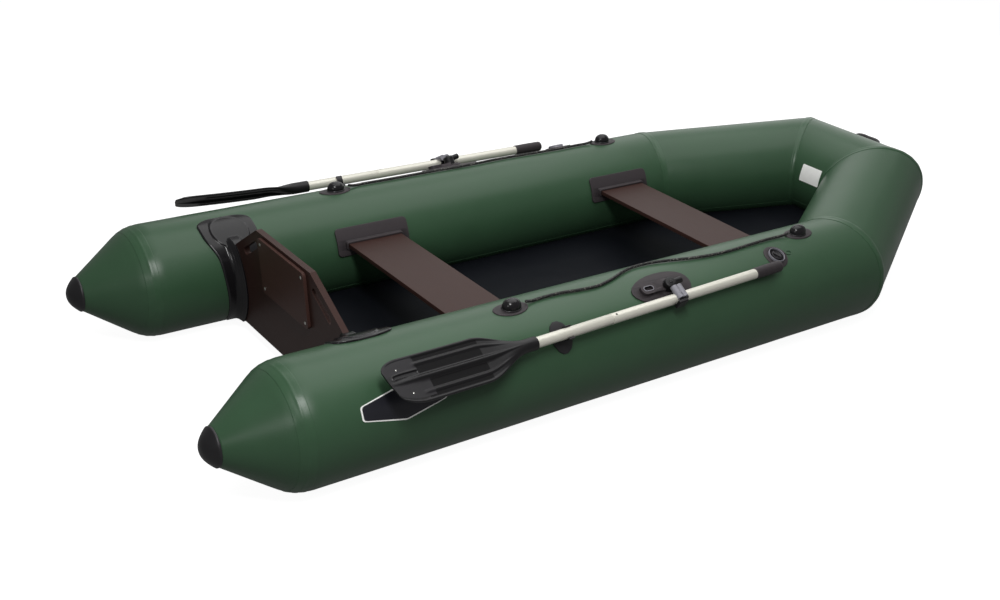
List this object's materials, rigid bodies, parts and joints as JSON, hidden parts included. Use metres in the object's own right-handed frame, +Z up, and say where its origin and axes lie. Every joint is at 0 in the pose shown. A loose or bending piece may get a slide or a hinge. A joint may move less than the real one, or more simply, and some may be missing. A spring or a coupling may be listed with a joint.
{
  "type": "inflatable rowing and motor dinghy",
  "caption": "Open inflatable dinghy with pointed stern cones, a raised mitred bow, a plywood transom, plank thwarts and stowed oars on swivelling oarlocks.",
  "frame": {"origin": "on the ground under the middle of the boat's length and beam", "axes": "+X towards the bow, +Y to port, +Z up"},
  "size_m": [3.01, 1.4408, 0.428],
  "materials": {
    "tube_skin": "semi-gloss coated boat fabric",
    "floor_fabric": "matt coated fabric",
    "moulded_black": "satin moulding",
    "moulded_grey": "satin moulding",
    "panel_black": "blank panel, satin",
    "label_white": "blank label",
    "plywood": "film-faced brown plywood",
    "oar_metal": "satin",
    "clip_rubber": "satin",
    "rope_black": "braided"
  },
  "bodies": {
    "hull": {"stern_cone_starboard": "tube_skin", "stern_cone_port": "tube_skin", "stern_cap_starboard": "moulded_black", "stern_cap_port": "moulded_black", "side_tube_starboard": "tube_skin", "side_tube_port": "tube_skin", "bow_quarter_starboard": "tube_skin", "bow_quarter_port": "tube_skin", "bow_front": "tube_skin", "floor_sheet": "floor_fabric", "valve_starboard": "moulded_black", "valve_port": "moulded_black", "side_panel": "panel_black", "bow_handle": "moulded_black", "bow_label": "label_white", "transom_board": "plywood", "transom_pad_outer": "plywood", "transom_pad_inner": "plywood", "transom_holder_starboard": "moulded_black", "transom_holder_port": "moulded_black", "thwart_aft": "plywood", "thwart_fore": "plywood", "thwart_holder_aft_starboard": "moulded_grey", "thwart_holder_aft_port": "moulded_grey", "thwart_holder_fore_starboard": "moulded_grey", "thwart_holder_fore_port": "moulded_grey", "oarlock_base_starboard": "moulded_grey", "oarlock_base_port": "moulded_grey", "oar_clip_starboard": "clip_rubber", "oar_clip_port": "clip_rubber", "rope_holder_rear_starboard": "moulded_black", "rope_holder_rear_port": "moulded_black", "rope_holder_front_starboard": "moulded_black", "rope_holder_front_port": "moulded_black", "lifeline_starboard": "rope_black", "lifeline_port": "rope_black"},
    "oar_starboard": {"oarlock_swivel_starboard": "moulded_black", "oar_collar_starboard": "moulded_grey", "oar_blade_starboard": "moulded_black", "oar_shaft_rear_starboard": "oar_metal", "oar_shaft_front_starboard": "oar_metal", "oar_grip_starboard": "moulded_grey"},
    "oar_port": {"oarlock_swivel_port": "moulded_black", "oar_collar_port": "moulded_grey", "oar_blade_port": "moulded_black", "oar_shaft_rear_port": "oar_metal", "oar_shaft_front_port": "oar_metal", "oar_grip_port": "moulded_grey"}
  },
  "joints": [
    {"name": "oar_starboard_swing", "type": "hinge", "parent": "hull", "child": "oar_starboard", "pos_m": [-0.09, -0.58569, 0.3494], "axis": [-0.1736, -0.4924, 0.8529], "range_deg": [0, 110], "deforming": ["oar_clip_starboard"]},
    {"name": "oar_port_swing", "type": "hinge", "parent": "hull", "child": "oar_port", "pos_m": [-0.09, 0.58569, 0.3494], "axis": [0.1736, -0.4924, -0.8529], "range_deg": [0, 110], "deforming": ["oar_clip_port"]}
  ]
}
